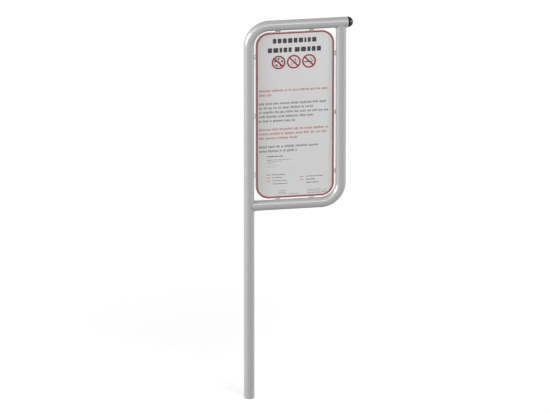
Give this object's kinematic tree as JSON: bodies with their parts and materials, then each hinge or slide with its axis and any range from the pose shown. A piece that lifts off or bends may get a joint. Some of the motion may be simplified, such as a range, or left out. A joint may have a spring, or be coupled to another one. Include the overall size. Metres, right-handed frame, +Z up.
{
  "type": "information board",
  "caption": "Post-mounted information board for a park or playground: a bent tubular steel frame holds a printed laminate panel, with a domed end cap on the top rail.",
  "frame": {"origin": "on the post's axis, at the plain lower end of the post, which is ground level", "axes": "+Z up along the post, +X from the post towards the right upright, the printed face looks along -Y"},
  "size_m": [0.6295, 0.0682, 2.2355],
  "materials": {
    "frame_paint": "satin silver-grey powder coat over steel",
    "weld_paint": "rippled weld bead under the same silver-grey coat",
    "cap_plastic": "moulded black, semi-gloss",
    "panel_laminate": "pale compact laminate, fine matt texture",
    "print_film": "satin laminated print, pale grey ground with red and black",
    "zinc_steel": "bright zinc plate",
    "insert_brass": "turned, plain"
  },
  "bodies": {
    "root": {"post_tube": "frame_paint", "return_tube": "frame_paint", "upper_joint_weld": "weld_paint", "lower_joint_weld": "weld_paint", "end_cap": "cap_plastic", "panel": "panel_laminate", "print_film": "print_film", "lug_post_upper": "zinc_steel", "lug_post_middle": "zinc_steel", "lug_post_lower": "zinc_steel", "lug_upright_upper": "zinc_steel", "lug_upright_middle": "zinc_steel", "lug_upright_lower": "zinc_steel", "lug_top_rail_left": "zinc_steel", "lug_top_rail_right": "zinc_steel", "lug_lower_rail_left": "zinc_steel", "lug_lower_rail_right": "zinc_steel", "lug_weld_post_upper": "weld_paint", "lug_weld_post_middle": "weld_paint", "lug_weld_post_lower": "weld_paint", "lug_weld_upright_upper": "weld_paint", "lug_weld_upright_middle": "weld_paint", "lug_weld_upright_lower": "weld_paint", "lug_weld_top_rail_left": "weld_paint", "lug_weld_top_rail_right": "weld_paint", "lug_weld_lower_rail_left": "weld_paint", "lug_weld_lower_rail_right": "weld_paint", "insert_post_upper": "insert_brass", "insert_post_middle": "insert_brass", "insert_post_lower": "insert_brass", "insert_upright_upper": "insert_brass", "insert_upright_middle": "insert_brass", "insert_upright_lower": "insert_brass", "insert_top_rail_left": "insert_brass", "insert_top_rail_right": "insert_brass", "insert_lower_rail_left": "insert_brass", "insert_lower_rail_right": "insert_brass", "washer_post_upper": "zinc_steel", "washer_post_middle": "zinc_steel", "washer_post_lower": "zinc_steel", "washer_upright_upper": "zinc_steel", "washer_upright_middle": "zinc_steel", "washer_upright_lower": "zinc_steel", "washer_top_rail_left": "zinc_steel", "washer_top_rail_right": "zinc_steel", "washer_lower_rail_left": "zinc_steel", "washer_lower_rail_right": "zinc_steel", "screw_post_upper": "zinc_steel", "screw_post_middle": "zinc_steel", "screw_post_lower": "zinc_steel", "screw_upright_upper": "zinc_steel", "screw_upright_middle": "zinc_steel", "screw_upright_lower": "zinc_steel", "screw_top_rail_left": "zinc_steel", "screw_top_rail_right": "zinc_steel", "screw_lower_rail_left": "zinc_steel", "screw_lower_rail_right": "zinc_steel"}
  },
  "joints": []
}
